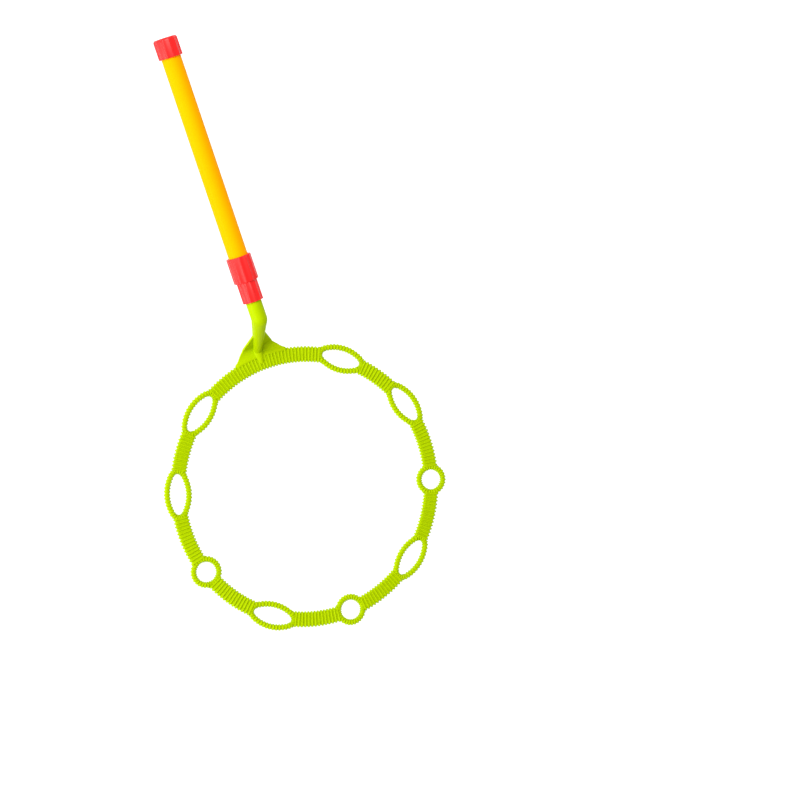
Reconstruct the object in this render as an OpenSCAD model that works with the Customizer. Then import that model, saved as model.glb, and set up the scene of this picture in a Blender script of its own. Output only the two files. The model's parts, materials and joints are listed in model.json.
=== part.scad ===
// Giant bubble wand: a ribbed hoop with nine small loops let into it, a cranked
// stem, and a tube handle that pushes on. It lies on its hoop, with +Y towards the
// handle and +Z up, and the origin is the middle of the underside of its bounding box.

/* [Hoop] */
// Radius of the hoop's centre line
hoop_r = 125; // [115:1:150]
// Thickness of the hoop and its loops over the ribs
hoop_t = 5.8; // [5:0.2:6.6]
// Width of the hoop's bars over the teeth
bar_w = 14.8; // [13.4:0.2:17]
// Bevel along the edges of the bars
bar_bevel = 0.8; // [0.4:0.1:1.2]
// Distance from one rib to the next
rib_pitch = 3.3; // [2.8:0.1:4.5]
// Width of one rib
rib_w = 1.7; // [1.2:0.1:2]
// Height of the ribs on the flat faces and round the loops
rib_h = 0.6; // [0.3:0.1:0.8]
// How far the ribs stand out as teeth along the edges of the bars
tooth_h = 0.9; // [0.5:0.1:1.4]

/* [Bubble loops] */
// Length of an oval loop's hole
oval_l = 37; // [32:0.5:42]
// Width of an oval loop's hole
oval_w = 15; // [12:0.5:18]
// Diameter of a round loop's hole
round_d = 18.4; // [14:0.2:24]

/* [Stem] */
// Height of the bend above the middle of the hoop's thickness
crank_h = 39; // [34:0.5:46]
// Lean of the stem's leg above the plane of the hoop, in degrees
stem_lean = 53.5; // [48:0.5:60]
// How far outside the hoop's centre line the leg starts
foot_out = 11.1; // [10.5:0.1:13]
// Diameter of the leg at its foot
stem_foot_d = 6.4; // [4.8:0.2:6.4]
// Diameter of the leg at the bend
leg_top_d = 13.6; // [11:0.2:13.8]
// Diameter of the stem from the bend to the collar
stem_d = 14; // [12:0.2:16]
// Diameter of the round elbow at the bend
elbow_d = 14.4; // [14.2:0.2:17]
// Length of stem that shows between the bend and the collar
neck_l = 19.5; // [14:0.1:32]
// Slope of the handle away from the plane of the hoop, in degrees
handle_rise = 3.3; // [0:0.1:8]

/* [Web] */
// Wall of the web between the leg and the hoop
web_t = 2.2; // [1.6:0.1:3]
// Width of the web where it leaves the hoop
web_base_w = 51; // [40:1:62]
// Width of the web at its fold
web_fold_w = 31; // [24:1:38]
// Width of the web at its top, on the leg
web_top_w = 12; // [11:0.5:15]
// Width of the smooth band along the hoop's edge that the web joins
web_band_w = 4; // [3:0.5:6]
// How far the smooth band lies inside the faces of the ribs and teeth
web_band_inset = 0.1; // [0.05:0.05:0.2]
// Distance past the hoop's edge in which the web thins from the hoop's thickness to its wall
web_root_l = 3; // [1:0.5:4]
// How far the web runs out flat past the edge of the hoop
web_flat_l = 8.3; // [5:0.1:11]
// Height of the web's top above its flat part
web_h = 22; // [16:0.5:25]
// Slope of the web from its fold to its top, in degrees
web_slope = 60; // [56:1:70]

/* [Collar] */
// Outside diameter of the collar's narrow end, over the ridges
collar_neck_d = 18.8; // [17.5:0.1:20]
// Length of the narrow end
collar_neck_l = 19.4; // [14:0.2:26]
// Outside diameter of the collar's wide end, over the ridges
collar_d = 22.6; // [22.1:0.1:26]
// Length of the wide end
collar_wide_l = 24; // [21:0.2:30]
// Depth to which the tube pushes into the wide end
tube_seat = 20; // [14:0.5:20.5]
// Diameter of the spigot on the stem
spigot_d = 13; // [10:0.1:13.2]
// Length of the spigot on the stem
spigot_l = 20; // [10:0.5:20]

/* [Tube] */
// Outside diameter of the tube
tube_d = 18.2; // [16:0.1:18.9]
// Wall of the tube
tube_wall = 1.2; // [0.8:0.1:2]
// Length of the tube
tube_l = 223; // [140:1:300]

/* [End cap] */
// Outside diameter of the end cap, over the ridges
cap_d = 22.8; // [22:0.1:26]
// Length of the end cap
cap_l = 17.5; // [16:0.5:24]
// Depth of the end cap's cup
cap_depth = 14; // [9:0.5:14.5]
// Bevel round the closed end
cap_bevel = 1.6; // [0.6:0.1:2]

/* [Ridges and fits] */
// Number of flutes round the collar and the end cap
flute_count = 12; // [8:1:16]
// Depth of a flute
flute_depth = 0.6; // [0.3:0.05:0.7]
// Radius of the hollow of a flute
flute_r = 8; // [5:0.5:12]
// Bevel at the open ends of the collar and the end cap
end_bevel = 0.5; // [0.2:0.1:0.7]
// Gap all round each push fit
fit_gap = 0.05; // [0.02:0.01:0.1]

/* [Hidden] */
// Nine loops stand at equal steps round the hoop, clockwise from the stem
LOOP_KINDS = ["oval", "oval", "round", "oval", "round", "oval", "round", "oval", "oval"];
loop_count = len(LOOP_KINDS);
step = 360 / (loop_count + 1);

lime = "#c4e600";
red = "#f4262a";
yellow = "#ffc400";

// One overrun for all cuts, and the fineness of round surfaces and of the hoop's wide edge
cut = 1;
$fn = 48;
EDGE_FN = 240;

// Hoop and strand sections
groove_d = hoop_t - 2 * rib_h;
bar_core_w = bar_w - 2 * tooth_h;
hoop_mid = hoop_t / 2;
hoop_edge = hoop_r + bar_w / 2;

// Centre lines of the loops. An oval is four arcs that meet on a tangent, close
// to an ellipse: tip arcs of a set share of its half width, and side arcs.
round_r = round_d / 2 + hoop_t / 2;
oval_a = oval_l / 2 + hoop_t / 2;
oval_b = oval_w / 2 + hoop_t / 2;
oval_tip_share = 0.62;
tip_r = oval_b * oval_tip_share;
tip_x = oval_a - tip_r;
side_r = (pow(tip_x, 2) + pow(oval_b, 2) - pow(tip_r, 2)) / (2 * (oval_b - tip_r));
side_half = atan(tip_x / (side_r - oval_b));
tip_half = 90 - side_half;

// Number of ribs along an arc of a radius, and the angle that a length spans on it
function degrees_of(length, radius) = length / radius * 180 / PI;
function ribs_along(radius, angle) = max(1, round(angle / degrees_of(rib_pitch, radius)));

// An arc of a strand: centre x and y, radius, first angle, last angle
ROUND_ARCS = [[0, 0, round_r, 0, 360]];
OVAL_ARCS = [
    [0, oval_b - side_r, side_r, 90 - side_half, 90 + side_half],
    [-tip_x, 0, tip_r, 180 - tip_half, 180 + tip_half],
    [0, side_r - oval_b, side_r, 270 - side_half, 270 + side_half],
    [tip_x, 0, tip_r, -tip_half, tip_half]
];
// Corners of the plain filler inside an oval's centre line
filler_corners = 24;

function arcs(kind) = kind == "oval" ? OVAL_ARCS : ROUND_ARCS;
function half_length(kind) = (kind == "oval" ? oval_a : round_r) + hoop_t / 2;
function half_angle(kind) = degrees_of(half_length(kind), hoop_r);

// Stem and handle line, in the plane x = 0
leg_run = crank_h / tan(stem_lean);
leg_l = crank_h / sin(stem_lean);
foot_y = hoop_r + foot_out;
bend_y = foot_y + leg_run;
bend_z = hoop_mid + crank_h;
leg_taper = (leg_top_d - stem_foot_d) / leg_l;

// Distances along the handle from the bend
collar_at = neck_l;
tube_at = collar_at + collar_neck_l + collar_wide_l - tube_seat;
cap_at = tube_at + tube_l - cap_depth;
handle_end = cap_at + cap_l;

// Web: face of its flat part, at the middle of the hoop's thickness, fold and top
web_face = hoop_mid + web_t / 2;
fold_y = hoop_edge + web_flat_l;
web_top_y = fold_y + web_h / tan(web_slope);
web_top_z = web_face + web_h;
web_back = web_t / sin(web_slope);
web_half_angle = asin(web_base_w / 2 / hoop_edge);

// The bounding box runs from the loop opposite the stem to the rim of the end cap
box_near = hoop_r + half_length(LOOP_KINDS[(loop_count - 1) / 2]);
box_far = bend_y + handle_end * cos(handle_rise) + (cap_d / 2 - cap_bevel) * sin(handle_rise);
origin_y = (box_far - box_near) / 2;

function loop_node(i) = str(LOOP_KINDS[i], "_loop_", i + 1);
function bar_node(i) = str("hoop_bar_", i + 1);

// Moves the hoop's centre, where each piece is drawn, to its place behind the origin
module placed() {
    translate([0, -origin_y, 0]) children();
}

// Turns local +Y to the station at a clockwise angle from the stem
module at_station(angle) {
    rotate([0, 0, -angle]) translate([0, hoop_r, 0]) children();
}

// Puts local +Z on the handle's line, a distance from the bend
module on_handle(distance) {
    translate([0, bend_y, bend_z]) rotate([handle_rise - 90, 0, 0]) {
        translate([0, 0, distance]) children();
    }
}

// Sweeps a flat outline round an arc, anticlockwise from one angle to another
module swept(radius, from, to) {
    rotate([0, 0, from]) rotate_extrude(angle = to - from) translate([radius, 0]) children();
}

// A bar's section, with bevelled corners
module bar_section(width, thickness) {
    x = width / 2;
    y = thickness / 2;
    polygon([
        [x, bar_bevel - y], [x, y - bar_bevel], [x - bar_bevel, y], [bar_bevel - x, y],
        [-x, y - bar_bevel], [-x, bar_bevel - y], [bar_bevel - x, -y], [x - bar_bevel, -y]
    ]);
}

// A round strand with ribs at even steps along it. Where it isn't a whole turn, a
// straight rib at its start joins it to the arc before, inside which both arcs end.
module ribbed_strand(radius, from, to) {
    ribs = ribs_along(radius, to - from);
    pitch = (to - from) / ribs;
    half_rib = degrees_of(rib_w, radius) / 2;
    whole_turn = to - from == 360;
    inset = whole_turn ? 0 : half_rib / 2;
    swept(radius, from + inset, to - inset) circle(d = groove_d);
    for (i = [whole_turn ? 0 : 1 : ribs - 1]) {
        middle = from + i * pitch;
        swept(radius, middle - half_rib, middle + half_rib) circle(d = hoop_t);
    }
    if (!whole_turn) rotate([90, 0, from]) translate([radius, 0, 0]) {
        cylinder(h = rib_w, d = hoop_t, center = true);
    }
}

// One bubble loop, round or oval, with its long way along the hoop
module bubble_loop(i) {
    color(lime) placed() at_station((i + 1) * step) translate([0, 0, hoop_mid]) {
        for (a = arcs(LOOP_KINDS[i])) {
            translate([a[0], a[1], 0]) ribbed_strand(a[2], a[3], a[4]);
        }
    }
}

// The room that a loop takes at the end of a bar: its smooth strand, whole turns of
// it at an oval's tips, and all inside it
module loop_room(kind) {
    translate([0, 0, hoop_mid]) {
        if (kind == "oval") for (x = [-tip_x, tip_x]) {
            translate([x, 0, 0]) swept(tip_r, 0, 360) circle(d = hoop_t);
        }
        else swept(round_r, 0, 360) circle(d = hoop_t);
        linear_extrude(hoop_t + 2 * cut, center = true) {
            if (kind == "oval") polygon([
                for (k = [0 : filler_corners - 1])
                    let (turn = 360 * k / filler_corners)
                    [oval_a * cos(turn), oval_b * sin(turn)]
            ]);
            else circle(r = round_r);
        }
    }
}

// A ribbed bar of the hoop from one station to another, cut back from its loops
module ribbed_bar(from, to, from_kind, to_kind) {
    first = from + half_angle(from_kind);
    last = to - half_angle(to_kind);
    ribs = ribs_along(hoop_r, last - first);
    pitch = (last - first) / ribs;
    half_rib = degrees_of(rib_w, hoop_r) / 2;
    difference() {
        translate([0, 0, hoop_mid]) {
            swept(hoop_r, 90 - to, 90 - from) bar_section(bar_core_w, groove_d);
            for (i = [0 : ribs - 1]) {
                middle = 90 - first - (i + 0.5) * pitch;
                swept(hoop_r, middle - half_rib, middle + half_rib) bar_section(bar_w, hoop_t);
            }
        }
        at_station(from) loop_room(from_kind);
        at_station(to) loop_room(to_kind);
    }
}

module hoop_bar(i) {
    color(lime) placed() ribbed_bar((i + 1) * step, (i + 2) * step, LOOP_KINDS[i], LOOP_KINDS[i + 1]);
}

// The long bar that carries the stem, with a smooth band where the web joins it
module foot_bar() {
    color(lime) placed() {
        ribbed_bar(-step, step, LOOP_KINDS[loop_count - 1], LOOP_KINDS[0]);
        swept(hoop_r, 90 - web_half_angle, 90 + web_half_angle) {
            translate([bar_w / 2 - web_band_w, web_band_inset]) {
                square([web_band_w - web_band_inset, hoop_t - 2 * web_band_inset]);
            }
        }
    }
}

// The tapered leg, longer at its foot than it shows, by its own foot diameter
module leg() {
    root = stem_foot_d;
    translate([0, foot_y, hoop_mid]) rotate([stem_lean - 90, 0, 0]) translate([0, 0, -root]) {
        cylinder(h = root + leg_l, d1 = stem_foot_d - root * leg_taper, d2 = leg_top_d);
    }
}

// The leg above the flat part of the web, on which its foot stands, clear of the hoop
module standing_leg() {
    difference() {
        leg();
        translate([-stem_d, foot_y - crank_h, web_face - crank_h]) cube([2 * stem_d, 2 * crank_h, crank_h]);
        cylinder(h = hoop_t, r = hoop_edge, $fn = EDGE_FN);
    }
}

// Leg, round elbow, neck and the spigot that the collar pushes on
module stem() {
    color(lime) placed() {
        standing_leg();
        translate([0, bend_y, bend_z]) sphere(d = elbow_d);
        on_handle(0) cylinder(h = neck_l, d = stem_d);
        on_handle(0) cylinder(h = neck_l + spigot_l, d = spigot_d);
    }
}

// Folded web: flat beside the hoop, then up to the leg, with its ends drawn in
module stem_web() {
    color(lime) placed() difference() {
        intersection() {
            linear_extrude(web_top_z + cut) polygon([
                [-web_base_w / 2, hoop_r], [web_base_w / 2, hoop_r],
                [web_base_w / 2, sqrt(pow(hoop_edge, 2) - pow(web_base_w / 2, 2))],
                [web_fold_w / 2, fold_y], [web_top_w / 2, web_top_y],
                [web_top_w / 2, web_top_y + web_back], [-web_top_w / 2, web_top_y + web_back],
                [-web_top_w / 2, web_top_y], [-web_fold_w / 2, fold_y],
                [-web_base_w / 2, sqrt(pow(hoop_edge, 2) - pow(web_base_w / 2, 2))]
            ]);
            rotate([90, 0, 90]) linear_extrude(web_base_w, center = true) polygon([
                [hoop_r, web_band_inset], [hoop_r, hoop_t - web_band_inset],
                [hoop_edge, hoop_t - web_band_inset], [hoop_edge + web_root_l, web_face],
                [fold_y, web_face], [web_top_y, web_top_z], [web_top_y + web_back, web_top_z],
                [fold_y + web_back - web_t / tan(web_slope), web_face - web_t],
                [hoop_edge + web_root_l, web_face - web_t], [hoop_edge, web_band_inset]
            ]);
        }
        cylinder(h = hoop_t + cut, r = hoop_edge, $fn = EDGE_FN);
        standing_leg();
    }
}

// Takes the flutes out of a round piece, from one height to another
module fluted(diameter, bottom, top, turn) {
    difference() {
        children();
        for (i = [0 : flute_count - 1]) {
            rotate([0, 0, turn + 360 * i / flute_count]) {
                translate([diameter / 2 + flute_r - flute_depth, 0, bottom]) {
                    cylinder(h = top - bottom, r = flute_r);
                }
            }
        }
    }
}

// Two-step collar, fluted, with a stepped bore for the spigot and the tube
module collar() {
    half_pitch = 180 / flute_count;
    length = collar_neck_l + collar_wide_l;
    color(red) placed() on_handle(collar_at) difference() {
        union() {
            fluted(collar_neck_d, -cut, collar_neck_l, half_pitch) rotate_extrude() polygon([
                [0, 0], [collar_neck_d / 2 - end_bevel, 0], [collar_neck_d / 2, end_bevel],
                [collar_neck_d / 2, collar_neck_l], [0, collar_neck_l]
            ]);
            fluted(collar_d, collar_neck_l - cut, length + cut, 0) rotate_extrude() polygon([
                [0, collar_neck_l], [collar_d / 2 - end_bevel, collar_neck_l],
                [collar_d / 2, collar_neck_l + end_bevel], [collar_d / 2, length - end_bevel],
                [collar_d / 2 - end_bevel, length], [0, length]
            ]);
        }
        translate([0, 0, -cut]) cylinder(h = length, d = spigot_d + 2 * fit_gap);
        translate([0, 0, length - tube_seat]) cylinder(h = tube_seat + cut, d = tube_d + 2 * fit_gap);
    }
}

module handle_tube() {
    color(yellow) placed() on_handle(tube_at) difference() {
        cylinder(h = tube_l, d = tube_d);
        translate([0, 0, -cut]) cylinder(h = tube_l + 2 * cut, d = tube_d - 2 * tube_wall);
    }
}

// Fluted cup that pushes over the end of the tube
module end_cap() {
    color(red) placed() on_handle(cap_at) difference() {
        fluted(cap_d, -cut, cap_l + cut, 0) rotate_extrude() polygon([
            [0, 0], [cap_d / 2 - end_bevel, 0], [cap_d / 2, end_bevel],
            [cap_d / 2, cap_l - cap_bevel], [cap_d / 2 - cap_bevel, cap_l], [0, cap_l]
        ]);
        translate([0, 0, -cut]) cylinder(h = cap_depth + cut, d = tube_d + 2 * fit_gap);
    }
}

for (i = [0 : loop_count - 1]) {
    bubble_loop(i);
}
for (i = [0 : loop_count - 2]) {
    hoop_bar(i);
}
foot_bar();
stem();
stem_web();
collar();
handle_tube();
end_cap();
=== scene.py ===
"""Looks of a giant bubble wand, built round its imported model.

The wand lies on its hoop. A ribbed hoop with small ribbed loops let into it is one
lime-green moulding with a cranked stem on a folded web. A red fluted collar joins the
stem to a yellow tube, and a red fluted cap closes the tube's end.
"""

import json
import logging
import math
from collections.abc import Callable
from dataclasses import dataclass, field
from enum import Enum
from typing import NamedTuple

import bmesh
import bpy
from mathutils import Matrix, Vector


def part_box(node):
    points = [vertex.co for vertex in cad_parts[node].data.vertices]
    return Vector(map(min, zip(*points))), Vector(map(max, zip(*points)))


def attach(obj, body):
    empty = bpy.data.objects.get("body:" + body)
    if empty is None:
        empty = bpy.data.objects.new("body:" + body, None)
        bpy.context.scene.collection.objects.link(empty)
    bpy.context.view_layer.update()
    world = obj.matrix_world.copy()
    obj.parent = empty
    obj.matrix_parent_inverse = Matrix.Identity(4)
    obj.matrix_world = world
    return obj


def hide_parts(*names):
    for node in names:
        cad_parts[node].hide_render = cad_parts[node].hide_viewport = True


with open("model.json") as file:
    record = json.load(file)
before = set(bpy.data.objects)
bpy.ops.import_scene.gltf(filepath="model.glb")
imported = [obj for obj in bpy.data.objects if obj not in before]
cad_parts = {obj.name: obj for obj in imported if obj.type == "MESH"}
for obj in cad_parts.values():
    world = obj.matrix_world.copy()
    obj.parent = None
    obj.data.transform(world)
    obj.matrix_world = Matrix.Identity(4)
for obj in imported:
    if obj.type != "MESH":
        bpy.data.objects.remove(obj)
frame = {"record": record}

LOG = logging.getLogger("bubble_wand")
Piece = bpy.types.Object
MM = 0.001
NEAR = 0.01 * MM
DOUBLE = 0.002 * MM
ROUND_STEPS = 4


class LoopKind(Enum):
    """The two shapes of bubble loop."""

    ROUND = "round"
    OVAL = "oval"


class Slot(Enum):
    """Material slots of the record."""

    HEAD = "head_plastic"
    COLLAR = "collar_plastic"
    TUBE = "tube_plastic"
    CAP = "cap_plastic"


def linear(hex_colour: str) -> tuple[float, float, float, float]:
    """Turns an sRGB hex colour into a linear colour.

    Args:
        hex_colour: The colour, such as "#c4e600".

    Returns:
        Red, green, blue and alpha, linear.
    """
    channels = [int(hex_colour[i : i + 2], 16) / 255 for i in (1, 3, 5)]
    curved = [c / 12.92 if c <= 0.04045 else ((c + 0.055) / 1.055) ** 2.4 for c in channels]
    return (*curved, 1.0)


def smooth_step(low: float, high: float, value: float) -> float:
    """Eases from 0, for a value of low or less, to 1, for a value of high or more."""
    t = min(1.0, max(0.0, (value - low) / (high - low)))
    return t * t * (3 - 2 * t)


def deselect_all() -> None:
    """Leaves edit mode and deselects every object."""
    if bpy.context.object and bpy.context.object.mode != "OBJECT":
        bpy.ops.object.mode_set(mode="OBJECT")
    bpy.ops.object.select_all(action="DESELECT")


def make_active(piece: Piece) -> None:
    """Selects one piece alone, in object mode, and makes it active.

    Args:
        piece: The piece.
    """
    deselect_all()
    piece.select_set(True)
    bpy.context.view_layer.objects.active = piece


def start_editing(piece: Piece) -> None:
    """Opens a piece in edit mode with all of it selected.

    Args:
        piece: The piece.
    """
    make_active(piece)
    bpy.ops.object.mode_set(mode="EDIT")
    bpy.ops.mesh.select_mode(type="VERT")
    bpy.ops.mesh.select_all(action="SELECT")


def select_where(test: Callable[[Vector], bool]) -> None:
    """Selects the vertices of the piece in edit mode that pass a test of place.

    Args:
        test: Says from a vertex's place whether it is selected.
    """
    bpy.ops.mesh.select_all(action="DESELECT")
    mesh = bpy.context.edit_object.data
    shape = bmesh.from_edit_mesh(mesh)
    for vertex in shape.verts:
        if test(vertex.co):
            vertex.select = True
    shape.select_flush(True)
    bmesh.update_edit_mesh(mesh)


def close_and_orient() -> None:
    """Merges doubles, fills open ends and turns the faces outwards, in edit mode."""
    bpy.ops.mesh.select_all(action="SELECT")
    bpy.ops.mesh.remove_doubles(threshold=DOUBLE)
    bpy.ops.mesh.select_all(action="SELECT")
    bpy.ops.mesh.fill_holes(sides=0)
    bpy.ops.mesh.select_all(action="SELECT")
    bpy.ops.mesh.normals_make_consistent(inside=False)


def place(piece: Piece, matrix: Matrix) -> None:
    """Moves a piece by a matrix and applies it, so that its place is in its mesh.

    Args:
        piece: The piece, whose mesh is about its own origin.
        matrix: Where it goes.
    """
    make_active(piece)
    piece.matrix_world = matrix @ piece.matrix_world
    bpy.ops.object.transform_apply(location=True, rotation=True, scale=True)


def start_shape(add: Callable[..., object], **settings: object) -> Piece:
    """Adds a basic shape, applies its place and turn, and opens it in edit mode.

    Args:
        add: The operator that adds it.
        settings: Values of the operator.

    Returns:
        The shape, with all of it selected.
    """
    deselect_all()
    add(**settings)
    shape = bpy.context.object
    place(shape, Matrix.Identity(4))
    start_editing(shape)
    return shape


def extrude_ring(
    move: Vector, factors: tuple[float, float, float], centre: Vector | tuple[float, float, float]
) -> None:
    """Extrudes the selection by a move and sizes it about a centre, in edit mode."""
    bpy.ops.mesh.extrude_region_move(TRANSFORM_OT_translate={"value": move})
    bpy.ops.transform.resize(value=factors, center_override=centre)


def apply_modifier(piece: Piece, kind: str, **settings: object) -> None:
    """Adds a modifier with its settings and applies it.

    Args:
        piece: The piece.
        kind: The modifier's type.
        settings: Values of the modifier.
    """
    make_active(piece)
    modifier = piece.modifiers.new(kind.title(), kind)
    for name, value in settings.items():
        setattr(modifier, name, value)
    bpy.ops.object.modifier_apply(modifier=modifier.name)


def raise_relief(piece: Piece, height: float, share: Callable[[Vector], float]) -> None:
    """Raises a piece's surface along its normals by a share of one height.

    Args:
        piece: The piece.
        height: The full height, in metres.
        share: Gives the share of it at a vertex's place, from 0 to 1.
    """
    make_active(piece)
    group = piece.vertex_groups.new(name="relief")
    for vertex in piece.data.vertices:
        group.add([vertex.index], share(vertex.co), "REPLACE")
    apply_modifier(piece, "DISPLACE", strength=height, mid_level=0.0, vertex_group="relief")
    piece.vertex_groups.clear()


def spin(centre: tuple[float, float], angle: float, steps: int) -> None:
    """Spins the selection anticlockwise about an upright axis, in edit mode."""
    bpy.ops.mesh.spin(steps=steps, angle=-angle, center=(*centre, 0.0), axis=(0.0, 0.0, 1.0))


def rib_share(phase: float, half: float = 0.3) -> float:
    """Share of a half-round rib's height at a place in pitches, with crests at whole numbers."""
    off = abs(phase - round(phase)) / half
    return math.sqrt(max(0.0, 1 - off * off))


def rounded_outline(width: float, height: float, corner: float, cuts: tuple[int, int]) -> Piece:
    """Makes a closed rounded rectangle of edges, upright across the Y axis.

    Args:
        width: Size along X.
        height: Size along Z.
        corner: Radius of the corners.
        cuts: Cuts along the long and along the short straight sides.

    Returns:
        The outline, about the origin.
    """
    deselect_all()
    bpy.ops.mesh.primitive_plane_add(size=1.0, rotation=(math.pi / 2, 0.0, 0.0))
    outline = bpy.context.object
    outline.scale = (width, height, 1.0)
    place(outline, Matrix.Identity(4))
    start_editing(outline)
    bpy.ops.mesh.bevel(affect="VERTICES", offset=corner, segments=ROUND_STEPS)
    bpy.ops.mesh.select_all(action="SELECT")
    bpy.ops.mesh.delete(type="ONLY_FACE")
    for side, number, axis in ((width, cuts[0], 0), (height, cuts[1], 2)):
        flat = side / 2 - corner
        select_where(lambda p, flat=flat, axis=axis: abs(p[axis]) <= flat + NEAR)
        bpy.ops.mesh.subdivide(number_cuts=number)
    bpy.ops.object.mode_set(mode="OBJECT")
    return outline


@dataclass(frozen=True)
class Arc:
    """One arc of a loop's centre line, about a centre on the loop's own axes."""

    x: float
    y: float
    radius: float
    start: float
    turn: float


@dataclass(frozen=True)
class RibPattern:
    """The moulded ribs that run round the whole hoop."""

    pitch: float = 3.3 * MM
    height: float = 1.1 * MM
    tooth: float = 1.3 * MM
    on_loop: float = 0.85 * MM
    steps: int = 10

    def count(self, length: float) -> int:
        """Whole number of ribs along a length."""
        return max(1, round(length / self.pitch))


@dataclass
class HoopPlan:
    """Sizes and place of the hoop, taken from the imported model."""

    ribs: RibPattern = field(default_factory=RibPattern)
    bar_width: float = 15.4 * MM
    station_step: float = math.radians(36)
    kinds: tuple[LoopKind, ...] = tuple(
        LoopKind(kind) for kind in "oval oval round oval round oval round oval oval".split()
    )

    def __post_init__(self) -> None:
        """Reads the hoop's radius, centre and thickness from two of the round loops."""
        low_side, high_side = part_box("round_loop_3")
        low_far, high_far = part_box("round_loop_5")
        side_x = (low_side[0] + high_side[0]) / 2
        far_y = (low_far[1] + high_far[1]) / 2
        self.radius = side_x / math.sin(3 * self.station_step)
        self.centre_y = far_y + self.radius
        self.thickness = high_side[2] - low_side[2]
        self.round_outer = (high_side[0] - low_side[0]) / 2

    @property
    def middle(self) -> float:
        """Height of the middle of the hoop's thickness."""
        return self.thickness / 2

    @property
    def groove_thickness(self) -> float:
        """Thickness of the bars between their ribs."""
        return self.thickness - 2 * self.ribs.height

    @property
    def edge(self) -> float:
        """Radius of the hoop's outer edge, over the teeth."""
        return self.radius + self.bar_width / 2

    def station(self, angle: float) -> Matrix:
        """Where a piece drawn about its own origin goes, at a clockwise angle from the stem."""
        centre = Matrix.Translation((0.0, self.centre_y, self.middle))
        return centre @ Matrix.Rotation(-angle, 4, "Z") @ Matrix.Translation((0, self.radius, 0))


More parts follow.
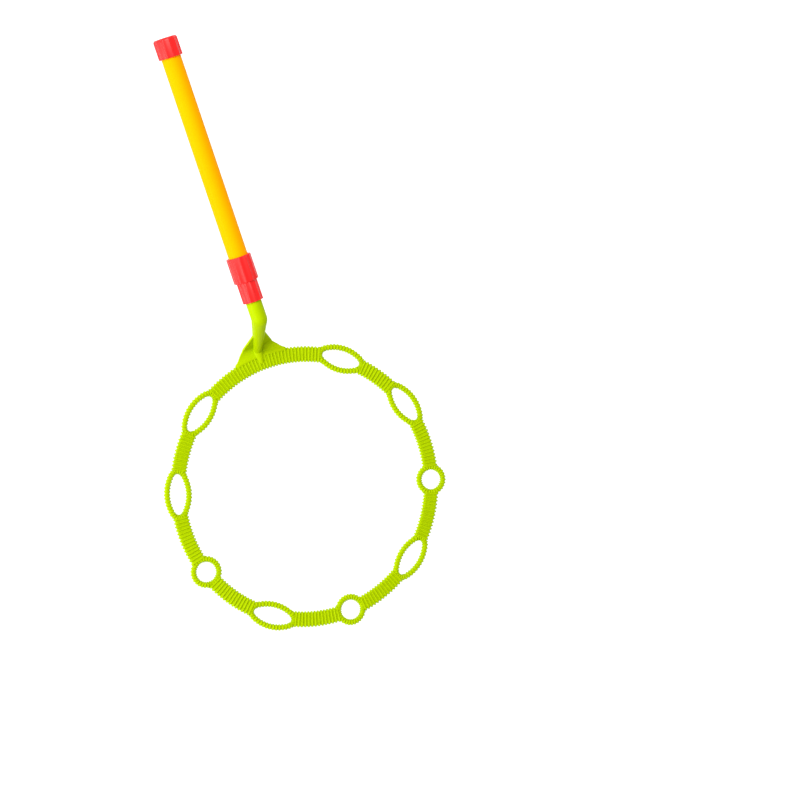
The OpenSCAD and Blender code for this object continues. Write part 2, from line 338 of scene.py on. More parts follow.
@dataclass
class BubbleLoop:
    """One small loop of the hoop: a ribbed round strand on a round or oval centre line."""

    plan: HoopPlan
    number: int
    oval_hole: tuple[float, float] = (37.0 * MM, 15.0 * MM)
    tip_share: float = 0.62
    tip_fade: float = math.radians(50)
    tip_height: float = 0.75
    corner: float = 1.6 * MM
    extra_width: float = 0.3 * MM

    def __post_init__(self) -> None:
        """Works out the arcs."""
        self.kind = self.plan.kinds[self.number - 1]
        self.angle = self.number * self.plan.station_step
        half = self.plan.thickness / 2
        if self.kind is LoopKind.ROUND:
            radius = self.plan.round_outer - half
            self.half_long = radius
            self.arcs = [Arc(0.0, 0.0, radius, 0.0, 2 * math.pi)]
            return
        self.half_long = self.oval_hole[0] / 2 + half
        half_wide = self.oval_hole[1] / 2 + half
        self.tip_radius = half_wide * self.tip_share
        self.tip_x = self.half_long - self.tip_radius
        squares = self.tip_x**2 + half_wide**2 - self.tip_radius**2
        side = squares / (2 * (half_wide - self.tip_radius))
        side_half = math.atan(self.tip_x / (side - half_wide))
        self.tip_half = math.pi / 2 - side_half
        self.arcs = [
            Arc(0.0, half_wide - side, side, math.pi / 2 - side_half, 2 * side_half),
            Arc(-self.tip_x, 0.0, self.tip_radius, math.pi - self.tip_half, 2 * self.tip_half),
            Arc(0.0, side - half_wide, side, 1.5 * math.pi - side_half, 2 * side_half),
            Arc(self.tip_x, 0.0, self.tip_radius, -self.tip_half, 2 * self.tip_half),
        ]

    @property
    def node(self) -> str:
        """Name of the loop's node."""
        return f"{self.kind.value}_loop_{self.number}"

    @property
    def half_angle(self) -> float:
        """Half the angle that the loop takes on the hoop."""
        return (self.half_long + self.plan.thickness / 2) / self.plan.radius

    def ribs_of(self, arc: Arc) -> int:
        """Number of ribs on an arc, spaced by the pitch along the strand's outer edge."""
        return self.plan.ribs.count((arc.radius + self.plan.thickness / 2) * arc.turn)

    def arc_at(self, point: Vector) -> Arc:
        """Finds the arc on which a point of the strand lies.

        Args:
            point: The point, on the loop's own axes.

        Returns:
            The arc.
        """
        if self.kind is LoopKind.ROUND:
            return self.arcs[0]
        side = 1.0 if point.x > 0 else -1.0
        at_tip = math.atan2(abs(point.y), side * point.x - self.tip_x) < self.tip_half
        if at_tip:
            return self.arcs[3] if point.x > 0 else self.arcs[1]
        return self.arcs[0] if point.y > 0 else self.arcs[2]

    def relief(self, point: Vector) -> float:
        """Share of the rib's height at a point of the strand.

        Args:
            point: The point, on the loop's own axes.

        Returns:
            The share, faded at an oval's tips, where the bars come in.
        """
        arc = self.arc_at(point)
        along = (math.atan2(point.y - arc.y, point.x - arc.x) - arc.start) % (2 * math.pi)
        share = rib_share(along / arc.turn * self.ribs_of(arc))
        off_axis = abs(math.atan2(point.y, abs(point.x) - self.half_long + self.plan.thickness))
        risen = smooth_step(self.tip_fade / 2, self.tip_fade, off_axis)
        return share * (self.tip_height + (1 - self.tip_height) * risen)

    def sweep(self) -> None:
        """Spins the selection along the whole centre line, in edit mode."""
        for arc in self.arcs:
            spin((arc.x, arc.y), arc.turn, self.ribs_of(arc) * self.plan.ribs.steps)

    def start(self) -> tuple[float, float]:
        """X and Y at which the centre line starts."""
        arc = self.arcs[0]
        return arc.x + arc.radius * math.cos(arc.start), arc.y + arc.radius * math.sin(arc.start)

    def build(self) -> Piece:
        """Models the loop.

        Returns:
            The finished piece, in place.
        """
        size = self.plan.thickness - 2 * self.plan.ribs.on_loop
        piece = rounded_outline(size + self.extra_width, size, self.corner, (1, 1))
        turn = Matrix.Rotation(self.arcs[0].start, 4, "Z")
        place(piece, Matrix.Translation((*self.start(), 0.0)) @ turn)
        start_editing(piece)
        self.sweep()
        close_and_orient()
        raise_relief(piece, self.plan.ribs.on_loop, self.relief)
        place(piece, self.plan.station(self.angle))
        return piece

    def filler(self) -> Piece:
        """Makes a block that fills the loop's centre line, to cut the bars with.

        Returns:
            The block, in place.
        """
        reach = self.plan.thickness
        start = (*self.start(), 0.0)
        block = start_shape(bpy.ops.mesh.primitive_plane_add, size=2 * reach, location=start)
        bpy.ops.transform.resize(value=(0, 0, 1), center_override=start)
        bpy.ops.mesh.remove_doubles(threshold=NEAR)
        bpy.ops.transform.translate(value=(0, 0, -reach))
        bpy.ops.mesh.extrude_region_move(TRANSFORM_OT_translate={"value": (0, 0, 2 * reach)})
        bpy.ops.mesh.select_all(action="SELECT")
        self.sweep()
        close_and_orient()
        place(block, self.plan.station(self.angle))
        return block


@dataclass
class HoopBar:
    """A ribbed bar of the hoop between two loops."""

    plan: HoopPlan
    before: BubbleLoop
    after: BubbleLoop
    corner: float = 1.3 * MM
    tuck: float = 1.0 * MM
    flat_cuts: int = 9
    wrap: float = 0.0

    @property
    def half_core(self) -> float:
        """Half the width of the bar inside its teeth."""
        return self.plan.bar_width / 2 - self.plan.ribs.tooth

    def reach_into(self, loop: BubbleLoop) -> float:
        """Angle from a loop's middle at which the bar's corners end, inside the strand.

        Args:
            loop: The loop at that end.

        Returns:
            The angle on the hoop, in radians.
        """
        side = loop.arcs[0]
        half_chord = math.sqrt(side.radius**2 - (self.half_core - side.y) ** 2)
        return (half_chord - self.tuck) / self.plan.radius

    def relief(self, point: Vector) -> float:
        """Share of a tooth's height at a point of the bar.

        Args:
            point: The point, about the hoop's middle.

        Returns:
            The share: a rib on the flat faces, and a full tooth along the edges.
        """
        first, last, ribs = self.ribbed()
        angle = math.atan2(point.x, point.y)
        middle = (first + last) / 2
        angle += 2 * math.pi * round((middle - angle) / (2 * math.pi))
        share = rib_share((angle - first) / (last - first) * ribs - 0.5)
        across = math.hypot(point.x, point.y) - self.plan.radius
        edge = smooth_step(self.half_core - self.corner, self.half_core, abs(across))
        on_face = self.plan.ribs.height / self.plan.ribs.tooth
        return self.faded(share, angle, across) * (on_face + (1 - on_face) * edge)

    def ribbed(self) -> tuple[float, float, int]:
        """Finds where the bar's ribs are.

        Returns:
            First and last clockwise angle of the bar between its loops, and its ribs' number.
        """
        first = self.before.angle - self.wrap + self.before.half_angle
        last = self.after.angle - self.after.half_angle
        return first, last, self.plan.ribs.count((last - first) * self.plan.radius)

    def faded(self, share: float, angle: float, across: float) -> float:
        """Lets a kind of bar change its ribs by place; a plain bar doesn't."""
        return share

    def build(self) -> Piece:
        """Models the bar and cuts its ends to the loops.

        Returns:
            The finished piece, in place.
        """
        first, last, ribs = self.ribbed()
        step = (last - first) / (ribs * self.plan.ribs.steps)
        ends = (self.before, self.after)
        before, after = (round((end.half_angle - self.reach_into(end)) / step) for end in ends)
        steps = before + ribs * self.plan.ribs.steps + after
        width, cuts = 2 * self.half_core, (self.flat_cuts, 1)
        piece = rounded_outline(width, self.plan.groove_thickness, self.corner, cuts)
        start = math.pi / 2 - (last + after * step)
        place(piece, Matrix.Rotation(start, 4, "Z") @ Matrix.Translation((self.plan.radius, 0, 0)))
        start_editing(piece)
        spin((0.0, 0.0), steps * step, steps)
        close_and_orient()
        raise_relief(piece, self.plan.ribs.tooth, self.relief)
        place(piece, Matrix.Translation((0.0, self.plan.centre_y, self.plan.middle)))
        for loop in ends:
            block = loop.filler()
            apply_modifier(piece, "BOOLEAN", object=block, operation="DIFFERENCE", solver="EXACT")
            bpy.data.objects.remove(block, do_unlink=True)
        return piece


@dataclass
class FootBar(HoopBar):
    """The bar that carries the stem, whose ribs run out towards the web."""

    web_half_angle: float = math.radians(11.3)
    fade_start: float = 5.2 * MM
    fade_end: float = 8.0 * MM
    fade_angle: float = math.radians(2.2)
    foot_half_width: float = 4.6 * MM
    foot_core: float = 0.4
    foot_reach: float = 5.0 * MM
    wrap: float = 2 * math.pi

    def faded(self, share: float, angle: float, across: float) -> float:
        """Fills the valleys between the ribs where the web and the leg's foot flow in.

        Args:
            share: The rib's share of the height.
            angle: Angle from the stem.
            across: Distance outside the hoop's centre line.

        Returns:
            The share, raised to a full one where the surface is smooth.
        """
        limit = self.web_half_angle
        beside = 1 - smooth_step(limit - self.fade_angle, limit, abs(angle))
        aside = abs(angle) * self.plan.radius / self.foot_half_width
        under_foot = 1 - smooth_step(self.foot_core, 1.0, aside)
        shift = self.foot_reach * under_foot
        filled = beside * smooth_step(self.fade_start - shift, self.fade_end - shift, across)
        return share + (1 - share) * filled


@dataclass
class HandleLine:
    """The handle's line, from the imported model's turning joint."""

    tube_start: float = 42.9 * MM

    def __post_init__(self) -> None:
        """Reads the line from the joint that turns the tube."""
        joint = next(j for j in frame["record"]["behaviour"]["joints"] if j["name"] == "tube_turn")
        self.axis = Vector(joint["axis"]).normalized()
        self.bend = Vector(joint["pos_m"]) - self.axis * self.tube_start

    def at(self, distance: float) -> Matrix:
        """Where a piece turned about local Z goes, a distance along the handle from the bend."""
        turn = self.axis.to_track_quat("Z", "Y").to_matrix().to_4x4()
        return Matrix.Translation(self.bend + self.axis * distance) @ turn


@dataclass(frozen=True)
class Flutes:
    """Hollow flutes round the collar and the end cap, with narrow ridges between them."""

    count: int = 12
    depth: float = 0.7 * MM
    half_share: float = 0.9
    sides: int = 10

    def step_at(self, point: Vector) -> int:
        """Finds where in the pattern a point of the piece is.

        Args:
            point: The point, about the piece's own axis.

        Returns:
            Its steps round the piece from the nearest whole pitch.
        """
        turns = math.atan2(point.y, point.x) / (2 * math.pi)
        step = round(turns * self.count * self.sides) % self.sides
        return min(step, self.sides - step)

    def cut(self, radius: float, inner: float, low: float, high: float, half_pitch: bool) -> None:
        """Draws the flutes into the outer wall of the turned piece in edit mode.

        Args:
            radius: Radius over the ridges.
            inner: Radius under which nothing is moved.
            low: Lowest place along the piece.
            high: Highest place along the piece.
            half_pitch: Whether the flutes are turned by half a pitch.
        """
        for i in range(self.sides // 2 + 1):
            off = abs(1 - i / (self.sides / 2)) if half_pitch else i / (self.sides / 2)
            depth = self.depth * max(0.0, 1 - (off / self.half_share) ** 2)
            if depth <= 0:
                continue
            select_where(
                lambda p, i=i: low - 2 * NEAR <= p.z <= high + 2 * NEAR
                and math.hypot(p.x, p.y) > inner
                and self.step_at(p) == i
            )
            factor = 1 - depth / radius
            bpy.ops.transform.resize(value=(factor, factor, 1), center_override=(0, 0, 0))


def turn_piece(rings: list[tuple[float, float]], sides: int, closed: bool) -> Piece:
    """Turns a piece as on a lathe: a circle, extruded and sized from ring to ring.

    Args:
        rings: Radius and height of each ring, in order.
        sides: Number of sides round.
        closed: Whether the last ring joins the first, as on a sleeve.

    Returns:
        The piece, about its own origin.
    """
    radius, height = rings[0]
    add = bpy.ops.mesh.primitive_circle_add
    piece = start_shape(add, vertices=sides, radius=radius, location=(0, 0, height))
    for next_radius, next_height in rings[1:] + rings[:1] * closed:
        factor = next_radius / radius
        extrude_ring((0, 0, next_height - height), (factor, factor, 1), (0, 0, next_height))
        radius, height = next_radius, next_height
    close_and_orient()
    return piece


def rounded_edge(radius: float, height: float, size: float, up: bool) -> list[tuple[float, float]]:
    """Rings of a rounded outer edge.

    Args:
        radius: Radius of the wall.
        height: Height of the end face.
        size: Radius of the rounding.
        up: True where the wall comes first and the end face next.

    Returns:
        The rings, from wall to end face or back.
    """
    sign = 1 if up else -1
    rings = []
    for i in range(ROUND_STEPS + 1):
        turn = math.pi / 2 * i / ROUND_STEPS
        inward, back = size - size * math.cos(turn), size - size * math.sin(turn)
        rings.append((radius - inward, height - sign * back))
    return rings if up else rings[::-1]


@dataclass
class Collar:
    """Two-step fluted sleeve, narrow over the spigot and wide over the tube."""

    line: HandleLine
    flutes: Flutes = field(default_factory=Flutes)
    start: float = 19.5 * MM
    neck_radius: float = 9.9 * MM
    neck_length: float = 19.4 * MM
    wide_radius: float = 11.6 * MM
    wide_length: float = 24.0 * MM
    seat: float = 20.0 * MM
    neck_bore: float = 6.55 * MM
    wide_bore: float = 9.15 * MM
    rounding: float = 0.5 * MM
    groove: float = 1.0 * MM
    lip: float = 0.25 * MM

    def build(self) -> Piece:
        """Models the collar.

        Returns:
            The finished piece, in place.
        """
        end = self.neck_length + self.wide_length
        rings = [(self.neck_bore, self.lip), (self.neck_bore + self.lip, 0.0)]
        rings += rounded_edge(self.neck_radius, 0.0, self.rounding, up=False)
        rings += [(self.neck_radius, self.neck_length - self.groove)]
        rings += [(self.neck_radius - self.flutes.depth, self.neck_length)]
        rings += rounded_edge(self.wide_radius, self.neck_length, self.rounding, up=False)
        rings += rounded_edge(self.wide_radius, end, self.rounding, up=True)
        rings += [(self.wide_bore + self.lip, end), (self.wide_bore, end - self.lip)]
        rings += [(self.wide_bore, end - self.seat), (self.neck_bore, end - self.seat)]
        piece = turn_piece(rings, self.flutes.count * self.flutes.sides, closed=True)
        inner = (self.neck_bore + self.neck_radius) / 2
        high = self.neck_length - self.groove
        self.flutes.cut(self.neck_radius, inner, 0.0, high, half_pitch=True)
        inner = (self.wide_bore + self.wide_radius) / 2
        self.flutes.cut(self.wide_radius, inner, self.neck_length, end, half_pitch=False)
        place(piece, self.line.at(self.start))
        return piece


@dataclass
class HandleTube:
    """Plain hollow tube."""

    line: HandleLine
    radius: float = 9.1 * MM
    wall: float = 1.2 * MM
    length: float = 223.0 * MM
    edge: float = 0.25 * MM
    sides: int = 96
    bands: int = 12

    def build(self) -> Piece:
        """Models the tube.

        Returns:
            The finished piece, in place.
        """
        bore = self.radius - self.wall
        rings = [(bore, self.edge), (bore + self.edge, 0.0), (self.radius - self.edge, 0.0)]
        rings += [(self.radius, self.edge)]
        span = self.length - 2 * self.edge
        rings += [(self.radius, self.edge + span * i / self.bands) for i in range(1, self.bands)]
        rings += [(self.radius, self.length - self.edge), (self.radius - self.edge, self.length)]
        rings += [(bore + self.edge, self.length), (bore, self.length - self.edge)]
        piece = turn_piece(rings, self.sides, closed=True)
        place(piece, self.line.at(self.line.tube_start))
        return piece


@dataclass
class EndCap:
    """Fluted cup over the tube's end, with a softly rounded closed end."""

    line: HandleLine
    flutes: Flutes = field(default_factory=Flutes)
    start: float = 251.9 * MM
    radius: float = 11.5 * MM
    length: float = 18.4 * MM
    bore: float = 9.15 * MM
    depth: float = 14.0 * MM
    rounding: float = 0.5 * MM
    crown: float = 2.4 * MM
    dome: float = 0.2 * MM
    dome_rings: tuple[tuple[float, float], ...] = ((0.66, 0.35), (0.3, 0.0))
    floor_share: float = 0.3
    lip: float = 0.25 * MM

    def build(self) -> Piece:
        """Models the cap.

        Returns:
            The finished piece, in place.
        """
        rings = [(self.bore * self.floor_share, self.depth), (self.bore, self.depth)]
        rings += [(self.bore, self.lip), (self.bore + self.lip, 0.0)]
        rings += rounded_edge(self.radius, 0.0, self.rounding, up=False)
        rings += rounded_edge(self.radius, self.length - self.dome, self.crown, up=True)
        face = self.radius - self.crown
        rings += [(face * share, self.length - self.dome * left) for share, left in self.dome_rings]
        piece = turn_piece(rings, self.flutes.count * self.flutes.sides, closed=False)
        inner = (self.bore + self.radius - self.crown) / 2 + self.lip
        self.flutes.cut(self.radius, inner, 0.0, self.length, half_pitch=True)
        place(piece, self.line.at(self.start))
        return piece


@dataclass
class Stem:
    """Tapered leg, rounded elbow, neck and the spigot inside the collar."""

    plan: HoopPlan
    line: HandleLine
    lean: float = math.radians(51.7)
    elbow_shift: float = 2.0 * MM
    sideways: float = 0.022
    root: float = 6.0 * MM
    foot_radius: float = 3.3 * MM
    leg_top_radius: float = 7.4 * MM
    neck_radius: float = 7.4 * MM
    neck_length: float = 19.5 * MM
    bend_radius: float = 2.4 * MM
    spigot_radius: float = 6.5 * MM
    spigot_length: float = 20.0 * MM
    sides: int = 40
    leg_rings: int = 12
    bend_steps: int = 10
    toe_size: tuple[float, float, float] = (4.5 * MM, 11.5 * MM, 3.4 * MM)
    toe_aside: float = -1.2 * MM
    toe_out: float = 9.0 * MM
    toe_height: float = 1.2 * MM
    toe_facets: tuple[int, int] = (36, 20)
    toe_taper: float = 0.94
    toe_taper_from: tuple[float, ...] = (-0.8, -0.6, -0.4, -0.2, 0.0)
    toe_under: float = -0.3 * MM
    toe_end: float = 12.5 * MM
    toe_rake: float = math.radians(30)

    def build(self) -> Piece:
        """Models the stem from its foot to its spigot.

        Returns:
            The finished piece, in place.
        """
        leg = Vector((self.sideways, math.cos(self.lean), math.sin(self.lean))).normalized()
        elbow = self.line.bend + self.line.axis * self.elbow_shift
        foot = elbow - leg * ((elbow.z - self.plan.middle) / leg.z + self.root)
        bend_angle = leg.angle(self.line.axis)
        cut_back = self.bend_radius * math.tan(bend_angle / 2)
        length = (elbow - foot).length - cut_back
        piece = start_shape(
            bpy.ops.mesh.primitive_circle_add,
            vertices=self.sides,
            radius=self.foot_radius,
            location=foot,
            rotation=(self.lean - math.pi / 2, 0.0, 0.0),
        )
        radius = self.foot_radius
        travelled = 0.0
        for i in range(1, self.leg_rings + 1):
            share = i / self.leg_rings
            distance = length * share
            grown = self.foot_radius + (self.leg_top_radius - self.foot_radius) * share
            extrude_ring(leg * (distance - travelled), (grown / radius,) * 3, foot + leg * distance)
            radius, travelled = grown, distance
        # the elbow: each step turns the end ring about a pivot in the bend and sizes it
        side = (self.line.axis - leg * leg.dot(self.line.axis)).normalized()
        pivot = foot + leg * length + side * self.bend_radius
        step = bend_angle / self.bend_steps
        for i in range(1, self.bend_steps + 1):
            bpy.ops.mesh.spin(steps=1, angle=step, center=pivot, axis=(1.0, 0.0, 0.0))
            centre = pivot + Matrix.Rotation(-step * i, 3, "X") @ (-side * self.bend_radius)
            grown = self.neck_radius - self.leg_top_radius
            grown = self.leg_top_radius + grown * i / self.bend_steps
            bpy.ops.transform.resize(value=(grown / radius,) * 3, center_override=centre)
            radius = grown
        end = self.line.bend + self.line.axis * self.neck_length
        straight = self.neck_length - self.elbow_shift - cut_back
        extrude_ring(self.line.axis * straight, (1.0,) * 3, end)
        extrude_ring(Vector(), (self.spigot_radius / radius,) * 3, end)
        spigot = self.line.axis * self.spigot_length
        extrude_ring(spigot, (1.0,) * 3, end + spigot)
        close_and_orient()
        level = (0.0, 0.0, self.plan.middle)
        bpy.ops.mesh.select_all(action="SELECT")
        bpy.ops.mesh.bisect(plane_co=level, plane_no=(0, 0, 1), use_fill=True, clear_inner=True)
        bpy.ops.object.mode_set(mode="OBJECT")
        toe = self.build_toe()
        apply_modifier(piece, "BOOLEAN", object=toe, operation="UNION", solver="EXACT")
        bpy.data.objects.remove(toe, do_unlink=True)
        return piece

    def build_toe(self) -> Piece:
        """Models the smooth tongue on which the leg runs out over the bar.

        Returns:
            The tongue, narrower towards its tip, in place and cut off inside the web.
        """
        segments, rings = self.toe_facets
        toe = start_shape(
            bpy.ops.mesh.primitive_uv_sphere_add,
            segments=segments,
            ring_count=rings,
            radius=1.0,
            rotation=(math.pi / 2, 0, 0),
        )
        for limit in self.toe_taper_from:
            select_where(lambda p, limit=limit: p.y < limit)
            bpy.ops.transform.resize(value=(self.toe_taper, 1, 1), center_override=(0, 0, 0))
        place(toe, Matrix.Diagonal((*self.toe_size, 1.0)))
        rim = self.plan.centre_y + self.plan.radius
        over_bar = Vector((self.toe_aside, rim + self.toe_out, self.plan.middle + self.toe_height))
        place(toe, Matrix.Translation(over_bar))
        # cut level inside the web, and raked where the web folds up behind
        start_editing(toe)
        for out, height, rake in ((0.0, self.toe_under, 0.0), (self.toe_end, 0.0, self.toe_rake)):
            bpy.ops.mesh.select_all(action="SELECT")
            bpy.ops.mesh.bisect(
                plane_co=(0.0, rim + out, self.plan.middle + height),
                plane_no=(0.0, -math.sin(rake), math.cos(rake)),
                use_fill=True,
                clear_inner=True,
            )
        bpy.ops.object.mode_set(mode="OBJECT")
        return toe


class WebRow(NamedTuple):
    """A row across the web: its place from the hoop's middle, its half width, and how
    little of the hoop's curve it keeps."""

    y: float
    z: float
    half: float
    out: float


@dataclass
class StemWeb:
    """Folded sheet at the middle of the hoop's thickness, from the hoop up to the leg."""

    plan: HoopPlan
    base_half_width: float = 24.4 * MM
    fold_half_width: float = 16.2 * MM
    top_half_width: float = 5.0 * MM
    flat_length: float = 8.0 * MM
    height: float = 24.0 * MM
    slope: float = math.radians(60)
    wall: float = 2.0 * MM
    tuck: float = 1.7 * MM
    fold_radius: float = 7.0 * MM
    root_start: float = 0.6 * MM
    root_length: float = 4.5 * MM
    root_share: float = 0.95
    tuck_rows: int = 3
    flat_rows: int = 8
    fold_rows: int = 8
    slope_rows: int = 10
    columns: int = 32
    edge: float = 0.5 * MM

    def profile(self) -> list[WebRow]:
        """Rows of the sheet's middle, from inside the bar to the back of the leg.

        Returns:
            The rows.
        """
        edge = self.plan.edge
        fold_y = edge + self.flat_length
        cut_back = self.fold_radius * math.tan(self.slope / 2)
        flat_end = fold_y - cut_back
        rows = [(edge + self.tuck * (i / self.tuck_rows - 1), 0.0) for i in range(self.tuck_rows)]
        for i in range(self.flat_rows + 1):
            rows.append((edge + (flat_end - edge) * i / self.flat_rows, 0.0))
        for i in range(1, self.fold_rows + 1):
            turn = self.slope * i / self.fold_rows
            rise = self.fold_radius * (1 - math.cos(turn))
            rows.append((flat_end + self.fold_radius * math.sin(turn), rise))
        y, z = rows[-1]
        for i in range(1, self.slope_rows + 1):
            rise = (self.height - z) * i / self.slope_rows
            rows.append((y + rise / math.tan(self.slope), z + rise))
        placed = []
        for y, z in rows:
            out = min(1.0, max(0.0, (y - edge) / self.flat_length))
            half = self.base_half_width + (self.fold_half_width - self.base_half_width) * out
            half += (self.top_half_width - self.fold_half_width) * z / self.height
            placed.append(WebRow(y, z, half, out))
        return placed

    def build(self) -> Piece:
        """Models the web.

        Returns:
            The finished piece, in place.
        """
        rows = self.profile()
        row = rows[0]
        add = bpy.ops.mesh.primitive_grid_add
        piece = start_shape(add, x_subdivisions=self.columns, y_subdivisions=1, size=2.0)
        select_where(lambda p: p.y > 0)
        bpy.ops.mesh.delete(type="VERT")
        bpy.ops.mesh.select_all(action="SELECT")
        bpy.ops.transform.translate(value=(0, 1, 0))
        bpy.ops.transform.resize(value=(row.half, 1, 1), center_override=(0, 0, 0))
        bpy.ops.transform.translate(value=(0, row.y, row.z))
        for after in rows[1:]:
            move = (0, after.y - row.y, after.z - row.z)
            extrude_ring(move, (after.half / row.half, 1, 1), (0, after.y, after.z))
            row = after
        self.follow_hoop(rows)
        bpy.ops.mesh.select_all(action="SELECT")
        bpy.ops.mesh.normals_make_consistent(inside=False)
        apply_modifier(piece, "SOLIDIFY", thickness=self.wall, offset=0.0)
        apply_modifier(piece, "BEVEL", width=self.edge, segments=3, limit_method="ANGLE")
        start_editing(piece)
        bpy.ops.mesh.normals_make_consistent(inside=False)
        raise_relief(piece, (self.plan.thickness - self.wall) / 2, self.root)
        place(piece, Matrix.Translation((0.0, self.plan.centre_y, self.plan.middle)))
        return piece

    def root(self, point: Vector) -> float:
        """How much the web thickens towards the hoop, along a hollow fillet.

        Args:
            point: A point of the web, about the hoop's middle.

        Returns:
            The share, from 1 inside the bar to 0 past the fillet.
        """
        out = math.hypot(point.x, point.y) - self.plan.edge
        share = max(0.0, 1 - (out + self.root_start) / self.root_length) ** 2
        return min(self.root_share, share)

    def follow_hoop(self, rows: list[WebRow]) -> None:
        """Bends the first rows to the hoop's edge, less and less towards the fold.

        Args:
            rows: The rows of the sheet.
        """
        mesh = bpy.context.edit_object.data
        shape = bmesh.from_edit_mesh(mesh)
        for vertex in shape.verts:
            at = vertex.co
            row = min(rows, key=lambda r: abs(r.y - at.y) + abs(r.z - at.z))
            drop = row.y - math.sqrt(row.y * row.y - at.x**2)
            at.y -= drop * (1 - row.out)
        bmesh.update_edit_mesh(mesh)


def add_node(
    tree: bpy.types.NodeTree,
    kind: str,
    values: dict[str | int, object] | None = None,
    links: dict[str, bpy.types.NodeSocket] | None = None,
    **settings: object,
) -> bpy.types.Node:
    """Adds a node with its settings, socket values and links.

    Args:
        tree: The node tree.
        kind: The node's type.
        values: Input sockets by name or number, with constants.
        links: Input sockets by name, with the output that feeds each.
        settings: Properties of the node.

    Returns:
        The node.
    """
    node = tree.nodes.new(kind)
    for name, value in settings.items():
        setattr(node, name, value)
    for name, value in (values or {}).items():
        node.inputs[name].default_value = value
    for name, output in (links or {}).items():
        tree.links.new(output, node.inputs[name])
    return node


def new_material(name: str) -> tuple[bpy.types.Material, bpy.types.NodeTree, bpy.types.NodeSocket]:
    """Makes an empty node material.

    Args:
        name: The material's name.

    Returns:
        The material, its node tree, and the place on the object for its textures.
    """
    material = bpy.data.materials.new(name)
    material.use_nodes = True
    tree = material.node_tree
    tree.nodes.clear()
    return material, tree, add_node(tree, "ShaderNodeTexCoord").outputs["Object"]


@dataclass(frozen=True, kw_only=True)
class Plastic:
    """What the plastics share: two close tones, an uneven gloss and a faint relief."""

    name: str
    colour: str
    deep: str
    ior: float
    roughness: float
    specular: float
    gloss_spread: tuple[float, float]
    relief_depth: float
    relief_strength: float = 0.5

    def finish(
        self, tree: bpy.types.NodeTree, tones: bpy.types.Node, relief: bpy.types.Node
    ) -> None:
        """Makes the surface from two noises.

        Args:
            tree: The material's node tree.
            tones: The noise that goes from one tone to the other.
            relief: The noise that varies the gloss and raises the relief.
        """
        # the colours of a colour mix are its inputs 6 and 7 and its output 2
        mixed = {6: linear(self.colour), 7: linear(self.deep)}
        share = {"Factor": tones.outputs["Fac"]}
        tone = add_node(tree, "ShaderNodeMix", mixed, share, data_type="RGBA").outputs[2]
        below, above = self.gloss_spread
        span = {"To Min": self.roughness - below, "To Max": self.roughness + above}
        height = relief.outputs["Fac"]
        gloss = add_node(tree, "ShaderNodeMapRange", span, {"Value": height}).outputs[0]
        size = {"Strength": self.relief_strength, "Distance": self.relief_depth}
        bump = add_node(tree, "ShaderNodeBump", size, {"Height": height}).outputs[0]
        shader = add_node(
            tree,
            "ShaderNodeBsdfPrincipled",
            {"IOR": self.ior, "Specular IOR Level": self.specular},
            {"Base Color": tone, "Roughness": gloss, "Normal": bump},
        )
        add_node(tree, "ShaderNodeOutputMaterial", links={"Surface": shader.outputs[0]})


@dataclass(frozen=True, kw_only=True)
class MouldedPlastic(Plastic):
    """Polypropylene, injection moulded: an even saturated colour, a soft gloss from the
    polished mould, and a faint skin of flow that only a raking light shows."""

    ior: float = 1.49
    roughness: float = 0.34
    specular: float = 0.02
    gloss_spread: tuple[float, float] = (0.05, 0.07)
    relief_depth: float = 0.01 * MM
    flow_size: float = 22.0 * MM
    skin_size: float = 0.9 * MM

    def make(self) -> bpy.types.Material:
        """Makes the material.

        Returns:
            The material.
        """
        material, tree, spot = new_material(self.name)
        # slow change of tone where the melt flowed and cooled
        values = {"Scale": 1 / self.flow_size, "Detail": 3.0, "Roughness": 0.55}
        flow = add_node(tree, "ShaderNodeTexNoise", values, {"Vector": spot})
        # a real skin is finer than this; it is drawn as coarse as it needs to show
        values = {"Scale": 1 / self.skin_size, "Detail": 4.0, "Roughness": 0.6}
        skin = add_node(tree, "ShaderNodeTexNoise", values, {"Vector": spot})
        self.finish(tree, flow, skin)
        return material


@dataclass(frozen=True, kw_only=True)
class ExtrudedTube(Plastic):
    """Polyethylene tube, extruded: a waxy yellow with faint lines from the die along it."""

    line_angle: float
    ior: float = 1.51
    roughness: float = 0.36
    specular: float = 0.01
    gloss_spread: tuple[float, float] = (0.05, 0.08)
    relief_depth: float = 0.02 * MM
    line_width: float = 0.8 * MM
    line_length: float = 60.0 * MM
    tone_size: float = 45.0 * MM

    def make(self) -> bpy.types.Material:
        """Makes the material.

        Returns:
            The material.
        """
        material, tree, spot = new_material(self.name)
        # turned so that Y runs along the tube, then stretched into lines
        stretch = (1 / self.line_width, 1 / self.line_length, 1 / self.line_width)
        values = {"Rotation": (-self.line_angle, 0.0, 0.0), "Scale": stretch}
        along = add_node(tree, "ShaderNodeMapping", values, {"Vector": spot}).outputs[0]
        values = {"Scale": 1.0, "Detail": 3.0, "Roughness": 0.5}
        lines = add_node(tree, "ShaderNodeTexNoise", values, {"Vector": along})
        values = {"Scale": 1 / self.tone_size, "Detail": 2.0}
        tones = add_node(tree, "ShaderNodeTexNoise", values, {"Vector": spot})
        self.finish(tree, tones, lines)
        return material


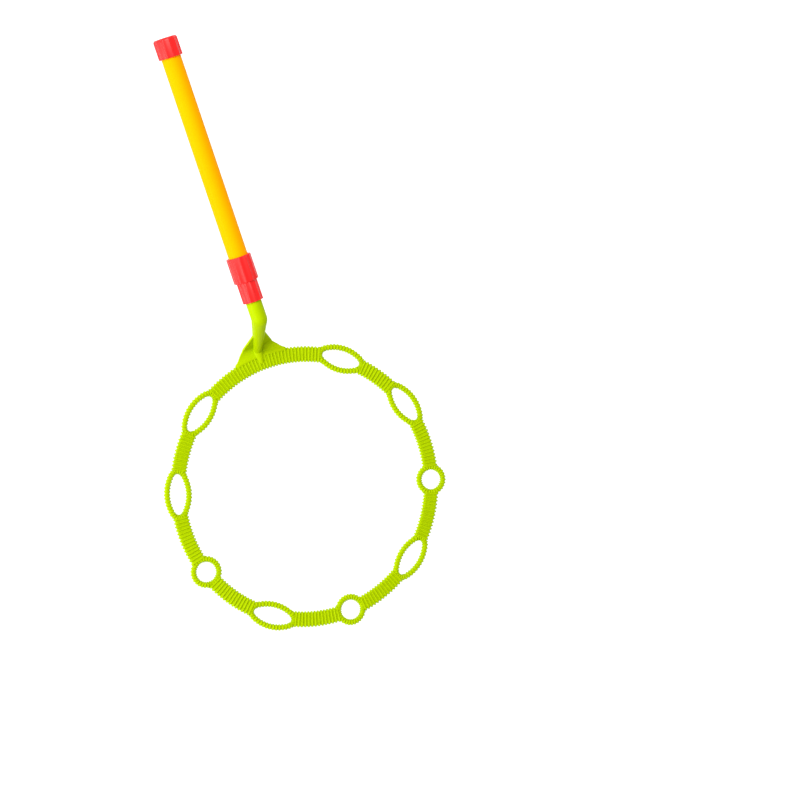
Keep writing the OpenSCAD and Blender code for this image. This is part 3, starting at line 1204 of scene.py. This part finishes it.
@dataclass(frozen=True)
class OpalSheet:
    """Opal acrylic sheet of a light table: white, matt and lit from below, so that the
    wand stands on a clean pale ground almost without a shadow."""

    name: str = "opal_acrylic_sheet"
    colour: str = "#a0a0a0"
    light: str = "#ffffff"
    glow: float = 0.95
    specular: float = 0.1
    roughness: tuple[float, float] = (0.82, 0.9)
    grain_size: float = 6.0 * MM

    def make(self) -> bpy.types.Material:
        """Makes the material.

        Returns:
            The material.
        """
        material, tree, spot = new_material(self.name)
        values = {"Scale": 1 / self.grain_size}
        grain = add_node(tree, "ShaderNodeTexNoise", values, {"Vector": spot}).outputs["Fac"]
        span = dict(zip(("To Min", "To Max"), self.roughness))
        gloss = add_node(tree, "ShaderNodeMapRange", span, {"Value": grain})
        shader = add_node(
            tree,
            "ShaderNodeBsdfPrincipled",
            {
                "Base Color": linear(self.colour),
                "Specular IOR Level": self.specular,
                "Emission Color": linear(self.light),
                "Emission Strength": self.glow,
            },
            {"Roughness": gloss.outputs[0]},
        )
        add_node(tree, "ShaderNodeOutputMaterial", links={"Surface": shader.outputs[0]})
        return material


@dataclass(frozen=True)
class Lamp:
    """A square soft light. Its direction is given on the camera's right, up and back."""

    name: str
    towards: tuple[float, float, float]
    power: float
    size: float
    distance: float


@dataclass
class Studio:
    """Floor, lights and camera."""

    plan: HoopPlan
    camera_from_hoop: tuple[float, float, float] = (-0.59599, 0.32969, 2.11046)
    right: tuple[float, float, float] = (0.881099, -0.327143, 0.341529)
    down: tuple[float, float, float] = (-0.350935, -0.936362, 0.008446)
    image_width: float = 800.0
    focal_pixels: float = 2350.0
    sensor: float = 36.0
    view_end: float = 100.0
    floor_size: float = 12.0
    floor_cuts: int = 4
    lamps: tuple[Lamp, ...] = (
        Lamp("key", (-0.22, 0.28, 0.93), power=94.0, size=1.7, distance=3.2),
        Lamp("side", (-0.9, -0.2, 0.35), power=12.0, size=1.0, distance=2.6),
        Lamp("low", (-0.65, -0.51, 0.57), power=22.0, size=0.6, distance=2.4),
    )
    aim_height: float = 0.02
    sky: float = 0.58

    def axes(self) -> tuple[Vector, Vector, Vector]:
        """Squares the camera's axes to each other.

        Returns:
            Right, up and back.
        """
        right = Vector(self.right).normalized()
        up = -Vector(self.down)
        up = (up - right * up.dot(right)).normalized()
        return right, up, right.cross(up)

    def add_floor(self) -> None:
        """Adds the pale floor under the hoop."""
        floor = start_shape(bpy.ops.mesh.primitive_plane_add, size=self.floor_size)
        floor.name = "floor"
        bpy.ops.mesh.subdivide(number_cuts=self.floor_cuts)
        bpy.ops.object.mode_set(mode="OBJECT")
        floor.data.materials.append(OpalSheet().make())

    def add_lamp(self, lamp: Lamp) -> None:
        """Adds a lamp that faces the wand.

        Args:
            lamp: The lamp.
        """
        data = bpy.data.lights.new(lamp.name, "AREA")
        data.shape = "SQUARE"
        data.size = lamp.size
        data.energy = lamp.power
        light = bpy.data.objects.new(lamp.name, data)
        bpy.context.collection.objects.link(light)
        right, up, back = self.axes()
        on_right, on_up, on_back = lamp.towards
        direction = (on_right * right + on_up * up + on_back * back).normalized()
        light.location = Vector((0.0, 0.0, self.aim_height)) + direction * lamp.distance
        light.rotation_euler = direction.to_track_quat("Z", "Y").to_euler()

    def add_lights(self) -> None:
        """Adds the key light over the camera's left, two softer ones and an even sky."""
        for lamp in self.lamps:
            self.add_lamp(lamp)
        world = bpy.data.worlds.new("studio")
        world.use_nodes = True
        background = world.node_tree.nodes["Background"]
        background.inputs["Color"].default_value = (1.0, 1.0, 1.0, 1.0)
        background.inputs["Strength"].default_value = self.sky
        bpy.context.scene.world = world
        bpy.context.scene.view_settings.view_transform = "Standard"

    def add_camera(self) -> None:
        """Adds the camera where the photograph was taken."""
        right, up, back = self.axes()
        turn = Matrix((right, up, back)).transposed().to_4x4()
        data = bpy.data.cameras.new("camera")
        data.sensor_width = self.sensor
        data.lens = self.focal_pixels / self.image_width * data.sensor_width
        data.clip_end = self.view_end
        camera = bpy.data.objects.new("camera", data)
        bpy.context.collection.objects.link(camera)
        hoop_middle = Vector((0.0, self.plan.centre_y, self.plan.middle))
        camera.matrix_world = Matrix.Translation(hoop_middle + Vector(self.camera_from_hoop)) @ turn
        bpy.context.scene.camera = camera


@dataclass
class Wand:
    """The whole wand: builds each piece and dresses it."""

    plan: HoopPlan
    line: HandleLine
    smooth_angle: float = math.radians(38)

    def __post_init__(self) -> None:
        """Makes the finishes."""
        rise = math.atan2(self.line.axis.z, self.line.axis.y)
        self.lime = MouldedPlastic(
            name="lime_polypropylene", colour="#a9c400", deep="#a4be00"
        ).make()
        self.red = MouldedPlastic(
            name="red_polypropylene", colour="#f00804", deep="#ea0703", roughness=0.45, specular=0.5
        ).make()
        self.yellow = ExtrudedTube(
            name="yellow_polyethylene", colour="#ffad00", deep="#ffa800", line_angle=rise
        ).make()

    def dress(
        self, piece: Piece, node: str, body: str, finish: bpy.types.Material
    ) -> None:
        """Names, shades and hangs a piece in the place of its node.

        Args:
            piece: The piece.
            node: The node that it replaces.
            body: The body that it rides on.
            finish: Its material.
        """
        piece.name = f"{node}_shell"
        piece.data.name = piece.name
        piece.data.materials.clear()
        piece.data.materials.append(finish)
        make_active(piece)
        bpy.ops.object.shade_smooth_by_angle(angle=self.smooth_angle)
        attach(piece, body)
        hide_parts(node)
        LOG.info("%s: %d faces", piece.name, len(piece.data.polygons))

    def build(self) -> None:
        """Builds and dresses every piece."""
        loops = [BubbleLoop(self.plan, i + 1) for i in range(len(self.plan.kinds))]
        head = [(loop.node, loop) for loop in loops]
        for i, (before, after) in enumerate(zip(loops, loops[1:])):
            head.append((f"hoop_bar_{i + 1}", HoopBar(self.plan, before, after)))
        head.append(("foot_bar", FootBar(self.plan, loops[-1], loops[0])))
        head.append(("stem", Stem(self.plan, self.line)))
        head.append(("stem_web", StemWeb(self.plan)))
        for node, section in head:
            self.dress(section.build(), node, "head", self.lime)
        self.dress(Collar(self.line).build(), "collar", "collar", self.red)
        self.dress(HandleTube(self.line).build(), "handle_tube", "tube", self.yellow)
        self.dress(EndCap(self.line).build(), "end_cap", "cap", self.red)


def main() -> None:
    """Builds the wand and the studio."""
    logging.basicConfig(level=logging.INFO, format="%(name)s %(message)s")
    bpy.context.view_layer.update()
    plan = HoopPlan()
    studio = Studio(plan)
    studio.add_camera()
    Wand(plan, HandleLine()).build()
    studio.add_floor()
    studio.add_lights()
    deselect_all()


if __name__ == "__main__":
    main()
